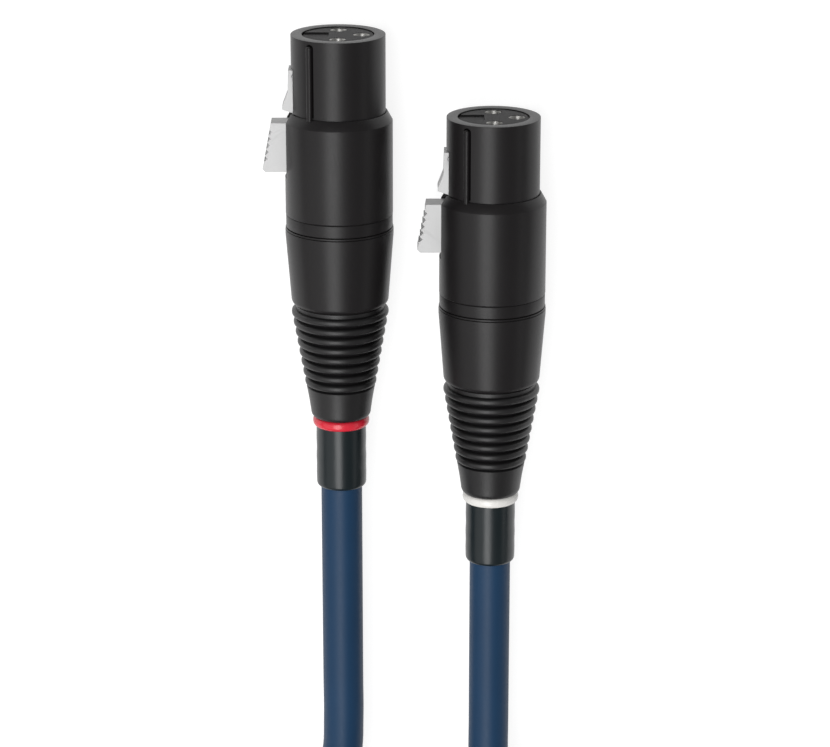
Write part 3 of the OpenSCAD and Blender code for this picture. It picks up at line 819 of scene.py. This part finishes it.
class CABLEPAIR_OT_noses(bpy.types.Operator):
    """Makes the socket connectors' nose sleeves, with the guide groove and the latch's slot"""

    bl_idname = "cablepair.noses"
    bl_label = "Noses"

    def execute(self, context):
        layout = Layout(context.scene)
        sizes, place, axis_z = layout.connector, layout.places["red"], layout.axis_z
        x, rim_y, _ = place
        lip_z = layout.shell_z + LIP_LEN + FIT
        shoulder_r = layout.shell_bore_r - FIT
        sleeve = lathe(
            "red_nose_sleeve",
            place,
            axis_z,
            [
                (0, layout.nose_bore_r), (0, layout.nose_r), (lip_z, layout.nose_r), (lip_z, shoulder_r),
                (layout.collar_z, shoulder_r), (layout.collar_z, layout.nose_bore_r),
            ],
        )
        soften(sleeve, NOSE_EDGE, 4)
        # The guide groove: a straight cut, and a round one at the end near the rim
        floor_r = layout.nose_r - sizes.guide_depth
        top_r, round_z = floor_r + 2 * PAST, sizes.guide_start + sizes.guide_w / 2
        cut(sleeve, guide_block(layout, floor_r, top_r, round_z, layout.shell_z - HOLE_PLAY, sizes.guide_w))
        middle_r, turn = (floor_r + top_r) / 2, sizes.guide_angle
        fresh()
        bpy.ops.mesh.primitive_cylinder_add(
            vertices=32,
            radius=sizes.guide_w / 2,
            depth=top_r - floor_r,
            location=(x - math.sin(turn) * middle_r, rim_y - round_z, axis_z + math.cos(turn) * middle_r),
            rotation=(0, -turn, 0),
        )
        cut(sleeve, bpy.context.object)
        first_z, last_z = layout.slot_front_z, layout.slot_end_z
        cut(sleeve, side_block(place, axis_z, layout.pad_r, SLOT_FLOOR_R, first_z, last_z, layout.slot_w))
        smooth(sleeve)
        nylon = finishes(context.scene)["glass_filled_nylon"]
        dress(sleeve, nylon)
        spread(layout, sleeve, "nose_sleeve", "sleeve", ("white",))

        # The guide rib stands in the groove and ends over the shell's cone
        top_r = layout.nose_r + sizes.guide_rib_height
        first_z, last_z = sizes.guide_start + RIB_EDGE, layout.shell_z + RIB_PAST
        rib_w = sizes.guide_w * sizes.guide_rib_share
        rib = named(guide_block(layout, floor_r, top_r, first_z, last_z, rib_w), "red_guide_rib")
        settle(rib)
        soften(rib, RIB_EDGE, 4)
        smooth(rib)
        dress(rib, nylon)
        for piece in (rib, copy_to(rib, "white_guide_rib", layout, "white")):
            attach(piece, ROOT_BODY)
        return {"FINISHED"}


class CABLEPAIR_OT_inserts(bpy.types.Operator):
    """Makes the socket connectors' inserts and contact tubes"""

    bl_idname = "cablepair.inserts"
    bl_label = "Socket inserts"

    def execute(self, context):
        layout = Layout(context.scene)
        sizes, place, axis_z = layout.connector, layout.places["red"], layout.axis_z
        x, rim_y, way = place
        materials = finishes(context.scene)
        face_z, tube_z, end_z = sizes.insert_face, sizes.insert_face + sizes.mouth_t, sizes.insert_end
        insert_r = layout.nose_bore_r - INSERT_PLAY
        insert = named(bar(place, axis_z, insert_r, face_z, end_z, RING_STEPS), "red_contact_insert")
        settle(insert)
        soften(insert, INSERT_EDGE)
        tubes = []
        for number, turn in enumerate((-90, 0, 90)):
            spot = (x + sizes.contact_ring_r * math.cos(math.radians(turn)), rim_y, way)
            spot_z = axis_z + sizes.contact_ring_r * math.sin(math.radians(turn))
            for radius, first_z, last_z in (
                (sizes.contact_r - MOUTH_LIP, -PAST, tube_z + MOUTH_LIP),
                (sizes.contact_r + TUBE_PLAY, tube_z, end_z + PAST),
            ):
                cut(insert, bar(spot, spot_z, radius, first_z, last_z, HOLE_STEPS))
            back_z = end_z - 2 * FIT
            tube = [
                (tube_z, sizes.contact_r - TUBE_RIM), (tube_z, sizes.contact_r), (back_z, sizes.contact_r),
                (back_z, sizes.contact_bore_r), (tube_z + sizes.lead_in_len, sizes.contact_bore_r),
            ]
            tubes.append(lathe(f"red_contact_tube_{number}", spot, spot_z, tube))
        keyway_z = face_z + sizes.keyway_depth
        cut(insert, side_block(place, axis_z, layout.nose_r, KEYWAY_R, -PAST, keyway_z, sizes.keyway_w))
        first_z, last_z = layout.slot_front_z, end_z + PAST
        cut(insert, side_block(place, axis_z, layout.nose_r, SLOT_FLOOR_R, first_z, last_z, layout.slot_w))
        smooth(insert)
        dress(insert, materials["moulded_polyamide_insert"])
        only(tubes[0])
        for tube in tubes[1:]:
            tube.select_set(True)
        bpy.ops.object.join()
        contacts = named(tubes[0], "red_contact_tubes")
        smooth(contacts)
        dress(contacts, materials["silver_plated_brass"])
        spread(layout, insert, "contact_insert", "insert", ("white",))
        spread(layout, contacts, "contact_tubes", "contacts", ("white",))
        return {"FINISHED"}


class CABLEPAIR_OT_shells(bpy.types.Operator):
    """Makes the socket connectors' shells, with the push pad's window"""

    bl_idname = "cablepair.shells"
    bl_label = "Socket shells"

    def execute(self, context):
        layout = Layout(context.scene)
        sizes, place, axis_z = layout.connector, layout.places["red"], layout.axis_z
        step_r, front_z, band_z = layout.shell_r - sizes.band_step, layout.shell_z, layout.band_z
        lip_r, line_r, lip_z = layout.nose_r + FIT, step_r - LINE_DEPTH, front_z + LIP_LEN
        shell = lathe(
            "red_socket_shell",
            place,
            axis_z,
            [
                (front_z, lip_r), (front_z, layout.nose_r + FRONT_FLAT),
                (front_z + sizes.shell_bevel, layout.shell_r), (band_z - LINE_HALF, layout.shell_r),
                (band_z, line_r), (band_z + LINE_HALF, step_r),
                (layout.collar_z - BAND_CHAMFER, step_r), (layout.collar_z, line_r),
                (layout.collar_z, layout.shell_bore_r), (lip_z, layout.shell_bore_r), (lip_z, lip_r),
            ],
        )
        soften(shell, SHELL_EDGE, 2)
        first_z, last_z, inner_r = front_z - PAST, layout.slot_end_z, layout.nose_r - PAST
        cut(shell, side_block(place, axis_z, layout.pad_r, inner_r, first_z, last_z, layout.slot_w))
        smooth(shell)
        dress(shell, finishes(context.scene)["glass_filled_nylon"])
        spread(layout, shell, "socket_shell", "shell", ("white",))
        return {"FINISHED"}


class CABLEPAIR_OT_latches(bpy.types.Operator):
    """Rounds the edges of the latch levers and gives the springs and hinge pins their finish"""

    bl_idname = "cablepair.latches"
    bl_label = "Latches"

    def execute(self, context):
        materials = finishes(context.scene)
        for side in SIDES:
            refined(
                side + "_latch_lever",
                side + "_latch",
                LATCH_EDGE,
                materials["light_grey_lever"],
                side + "_lever",
            )
            for node in ("_latch_pin", "_spring"):
                dress(frame["nodes"][side + node], materials["drawn_spring_steel"])
        return {"FINISHED"}


class CABLEPAIR_OT_inner_parts(bpy.types.Operator):
    """Gives the pin inserts, pins, clamps and cable ends their finishes"""

    bl_idname = "cablepair.inner_parts"
    bl_label = "Pins and clamps"

    def execute(self, context):
        materials = finishes(context.scene)
        for side in SIDES:
            for node, material in (
                ("_core", "pvc_jacket"),
                ("_chuck", "natural_acetal"),
                ("_pin_insert", "moulded_polyamide_insert"),
                ("_pins", "silver_plated_brass"),
                ("_pin_core", "pvc_jacket"),
                ("_pin_chuck", "natural_acetal"),
            ):
                dress(frame["nodes"][side + node], materials[material])
        return {"FINISHED"}


class CABLEPAIR_OT_collars(bpy.types.Operator):
    """Turns the screw collars of all four connectors"""

    bl_idname = "cablepair.collars"
    bl_label = "Collars"

    def execute(self, context):
        layout = Layout(context.scene)
        sizes = layout.connector
        profile = [(layout.collar_z, sizes.collar_bore_r)]
        profile += [(layout.collar_z + dz * MM, sizes.collar_d / 2 - dr * MM) for dz, dr in COLLAR_BEAD]
        end_r, round_len = sizes.collar_end_d / 2, sizes.collar_round
        profile += rounded(layout.boot_z, end_r, round_len, round_len, COLLAR_ROUND_STEPS)
        profile += [(layout.boot_z, sizes.collar_bore_r)]
        collar = lathe("red_screw_collar", layout.places["red"], layout.axis_z, profile)
        smooth(collar)
        dress(collar, finishes(context.scene)["glass_filled_nylon"])
        spread(layout, collar, "screw_collar", "collar")
        return {"FINISHED"}


class CABLEPAIR_OT_boots(bpy.types.Operator):
    """Turns the ribbed boots of all four connectors"""

    bl_idname = "cablepair.boots"
    bl_label = "Boots"

    def execute(self, context):
        layout = Layout(context.scene)
        sizes, spigot_r = layout.boot, layout.connector.collar_bore_r - FIT
        spigot_z, cone_r = layout.boot_z - SPIGOT_LEN, layout.rib_r(layout.cone_z)
        bore_r, end_r = layout.cord_r + FIT, sizes.end_d / 2
        profile = [
            (spigot_z, bore_r), (spigot_z, spigot_r), (layout.boot_z, spigot_r),
            (layout.boot_z, layout.rib_r(layout.first_rib_z) - sizes.rib_height),
        ]
        for i in range(sizes.rib_count):
            z = layout.first_rib_z + i * sizes.rib_pitch
            for share in RIB_SHARES:
                depth = 1 - math.sqrt(1 - abs(share) ** RIB_FULLNESS)
                rib_z = z + share * sizes.rib_share * sizes.rib_pitch / 2
                profile.append((rib_z, layout.rib_r(z) - sizes.rib_height * depth))
        profile += [
            (layout.cone_z, cone_r - CONE_DROP),
            (layout.cone_z + CONE_LEN, (cone_r + end_r) / 2 - CONE_DROP),
        ]
        profile += rounded(layout.boot_end_z, end_r, BOOT_ROUND_LEN, BOOT_ROUND_DEPTH)
        profile += [(layout.boot_end_z, bore_r)]
        boot = lathe("red_ribbed_boot", layout.places["red"], layout.axis_z, profile)
        smooth(boot, 50)
        dress(boot, finishes(context.scene)["elastomer_boot"])
        spread(layout, boot, "ribbed_boot", "boot")
        return {"FINISHED"}


class CABLEPAIR_OT_rings(bpy.types.Operator):
    """Turns the coding rings, red on one cable and white on the other"""

    bl_idname = "cablepair.rings"
    bl_label = "Coding rings"

    def execute(self, context):
        layout = Layout(context.scene)
        sizes = layout.boot
        middle, base_r = layout.boot_end_z + sizes.ring_t / 2, layout.sleeve_r + FIT / 2
        bulge = sizes.ring_d / 2 - base_r
        arc = [math.radians(a) for a in range(-90, 91, 15)]
        profile = [(middle + sizes.ring_t / 2 * math.sin(a), base_r + bulge * math.cos(a)) for a in arc]
        ring = lathe("red_coding_ring", layout.places["red"], layout.axis_z, profile)
        smooth(ring, 60)
        materials = finishes(context.scene)
        for place_name, piece in spread(layout, ring, "coding_ring", "ring").items():
            side = place_name.split("_")[0]
            dress(piece, materials[side + "_polycarbonate"])
        return {"FINISHED"}


class CABLEPAIR_OT_shrinks(bpy.types.Operator):
    """Turns the shrink sleeves behind the boots"""

    bl_idname = "cablepair.shrinks"
    bl_label = "Shrink sleeves"

    def execute(self, context):
        layout = Layout(context.scene)
        start, end, r = layout.boot_end_z, layout.sleeve_end_z, layout.sleeve_r
        bore_r, length = layout.cord_r + FIT / 2, end - start
        profile = [(start, bore_r), (start, r)]
        profile += [(start + length * share, r + swell * MM) for share, swell in SHRINK_SWELLS]
        profile += rounded(end, r, SHRINK_ROUND_LEN, SHRINK_ROUND_DEPTH) + [(end, bore_r)]
        shrink = lathe("red_shrink_sleeve", layout.places["red"], layout.axis_z, profile)
        smooth(shrink, 40)
        dress(shrink, finishes(context.scene)["polyolefin_shrink"])
        spread(layout, shrink, "shrink_sleeve", "shrink")
        return {"FINISHED"}


class CABLEPAIR_OT_pin_shells(bpy.types.Operator):
    """Turns the pin connectors' shells and cuts the catch windows"""

    bl_idname = "cablepair.pin_shells"
    bl_label = "Pin shells"

    def execute(self, context):
        layout = Layout(context.scene)
        sizes, place, axis_z = layout.connector, layout.places["red_pin"], layout.axis_z
        step_r = layout.shell_r - sizes.band_step
        shell = lathe(
            "red_pin_shell_body",
            place,
            axis_z,
            [
                (0, layout.shell_bore_r), (0, layout.shell_r),
                (layout.band_z - PIN_SHELL_CHAMFER, layout.shell_r), (layout.band_z, step_r),
                (layout.collar_z, step_r), (layout.collar_z, layout.shell_bore_r),
            ],
        )
        soften(shell, PIN_SHELL_EDGE, 3)
        outer_r, inner_r = layout.shell_r + PAST, layout.shell_r - WINDOW_DEPTH
        first_z, last_z = WINDOW_Z, WINDOW_Z + WINDOW_LEN
        cut(shell, side_block(place, axis_z, outer_r, inner_r, first_z, last_z, layout.slot_w))
        smooth(shell)
        dress(shell, finishes(context.scene)["glass_filled_nylon"])
        only(shell)
        bpy.ops.object.duplicate(linked=False)
        other = named(bpy.context.object, "white_pin_shell_body")
        x, rim_y, _ = place
        far_x, far_y, _ = layout.places["white_pin"]
        bpy.ops.transform.translate(value=(far_x - x, far_y - rim_y, 0))
        settle(other)
        stand_for(shell, "red_pin_shell")
        stand_for(other, "white_pin_shell")
        return {"FINISHED"}


class CABLEPAIR_OT_tie(bpy.types.Operator):
    """Makes the strap round the hank, with the end that is pressed down on it"""

    bl_idname = "cablepair.tie"
    bl_label = "Tie"

    def execute(self, context):
        layout = Layout(context.scene)
        cable, materials = layout.cable, finishes(context.scene)
        refined("hank_strap", "hank_tie", STRAP_EDGE, materials["woven_nylon_strap"])
        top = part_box("hank_tie")[1][2]
        fresh()
        bpy.ops.mesh.primitive_cube_add(
            size=1,
            location=(layout.hank_x + STRAP_END_SIDE, layout.waist_y, top + STRAP_END_T / 2 - STRAP_END_SINK),
            scale=(STRAP_END_LEN, cable.tie_w, STRAP_END_T),
        )
        end = named(bpy.context.object, "hank_strap_end")
        settle(end)
        bpy.ops.object.mode_set(mode="EDIT")
        bpy.ops.mesh.select_all(action="SELECT")
        bpy.ops.mesh.subdivide(number_cuts=3)
        bpy.ops.object.mode_set(mode="OBJECT")
        soften(end, STRAP_END_EDGE, 3, 60)
        smooth(end, 40)
        dress(end, materials["woven_nylon_strap"])
        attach(end, ROOT_BODY)
        return {"FINISHED"}


class CABLEPAIR_OT_declare(bpy.types.Operator):
    bl_idname = "cablepair.declare"
    bl_label = "Cable facts"

    def execute(self, context):
        layout = Layout(context.scene)
        objects = bpy.data.objects
        for side in SIDES:
            route = [Vector(point) for point in cable_route(layout, side)]
            on_it = [
                objects[f"{side}_pin_{part}"]
                for part in ("shell_body", "screw_collar", "ribbed_boot", "coding_ring", "shrink_sleeve")
            ]
            on_it += [frame["nodes"][f"{side}_pin_{part}"] for part in ("insert", "core", "chuck")]
            on_it += [frame["nodes"][side + "_pins"]]
            if side == "red":
                on_it += [objects["hank_strap"], objects["hank_strap_end"]]
        return {"FINISHED"}


class CABLEPAIR_OT_stage(bpy.types.Operator):
    """Sets the pale floor, the lamps and the surroundings"""

    bl_idname = "cablepair.stage"
    bl_label = "Stage"

    def execute(self, context):
        scene = context.scene
        scene.view_settings.view_transform = "Standard"
        fresh()
        bpy.ops.mesh.primitive_plane_add(size=FLOOR_SIZE, location=(0, 0, FLOOR_Z))
        floor = named(bpy.context.object, "Floor")
        settle(floor)
        material, tree, output = new_material("pale_floor")
        rays = add_node(tree, "ShaderNodeLightPath")
        seen = add_node(
            tree, "ShaderNodeMath", {"operation": "ADD", "use_clamp": True},
            {0: (rays, "Is Camera Ray"), 1: (rays, "Is Glossy Ray")},
        )
        seen = add_node(
            tree, "ShaderNodeMath", {"operation": "ADD", "use_clamp": True},
            {0: (seen, 0), 1: (rays, "Is Transmission Ray")},
        )
        glow = add_node(tree, "ShaderNodeMath", {"operation": "MULTIPLY", 1: FLOOR_GLOW}, {0: (seen, 0)})
        matt = add_node(tree, "ShaderNodeBsdfDiffuse", {"Color": linear(FLOOR_GREY)})
        light = add_node(tree, "ShaderNodeEmission", {"Color": (1, 1, 1, 1)}, {"Strength": (glow, 0)})
        both = add_node(tree, "ShaderNodeAddShader", None, {0: (matt, 0), 1: (light, 0)})
        tree.links.new(both.outputs[0], output.inputs[0])
        dress(floor, material)

        world = bpy.data.worlds.new("Surroundings")
        scene.world = world
        world.use_nodes = True
        tree = world.node_tree
        tree.nodes.clear()
        back = add_node(tree, "ShaderNodeBackground", {"Color": (1, 1, 1, 1), "Strength": WORLD_LIGHT})
        out = add_node(tree, "ShaderNodeOutputWorld")
        tree.links.new(back.outputs[0], out.inputs[0])

        for name, place, size, watts in LAMPS:
            fresh()
            bpy.ops.object.light_add(type="AREA", location=place)
            lamp = named(bpy.context.object, name)
            lamp.data.shape = "RECTANGLE"
            lamp.data.size, lamp.data.size_y = size
            lamp.data.energy = watts
            lamp.rotation_euler = (0, math.atan2(place[0], place[2]), 0)
        return {"FINISHED"}


OPERATORS = (
    CABLEPAIR_OT_camera,
    CABLEPAIR_OT_cables,
    CABLEPAIR_OT_noses,
    CABLEPAIR_OT_inserts,
    CABLEPAIR_OT_shells,
    CABLEPAIR_OT_latches,
    CABLEPAIR_OT_inner_parts,
    CABLEPAIR_OT_collars,
    CABLEPAIR_OT_boots,
    CABLEPAIR_OT_rings,
    CABLEPAIR_OT_shrinks,
    CABLEPAIR_OT_pin_shells,
    CABLEPAIR_OT_tie,
    CABLEPAIR_OT_declare,
    CABLEPAIR_OT_stage,
)
GROUPS = (
    ("connector_sizes", ConnectorSizes),
    ("boot_sizes", BootSizes),
    ("cable_sizes", CableSizes),
    ("part_colours", PartColours),
)


class CABLEPAIR_PT_panel(bpy.types.Panel):
    """Lists the sizes, the colours and the steps"""

    bl_idname = "CABLEPAIR_PT_panel"
    bl_label = "Cable Pair"
    bl_space_type = "VIEW_3D"
    bl_region_type = "UI"
    bl_category = "Cable Pair"

    def draw(self, context):
        for name, group in GROUPS:
            box = self.layout.box()
            for key in group.__annotations__:
                box.prop(getattr(context.scene, name), key)
        for operator in OPERATORS:
            self.layout.operator(operator.bl_idname)


def register():
    for name, group in GROUPS:
        bpy.utils.register_class(group)
        setattr(bpy.types.Scene, name, bpy.props.PointerProperty(type=group))
    for cls in OPERATORS + (CABLEPAIR_PT_panel,):
        bpy.utils.register_class(cls)


def unregister():
    for cls in reversed(OPERATORS + (CABLEPAIR_PT_panel,)):
        bpy.utils.unregister_class(cls)
    for name, group in reversed(GROUPS):
        delattr(bpy.types.Scene, name)
        bpy.utils.unregister_class(group)


def main():
    register()
    for operator in OPERATORS:
        group, name = operator.bl_idname.split(".")
        getattr(getattr(bpy.ops, group), name)()


if __name__ == "__main__":
    main()
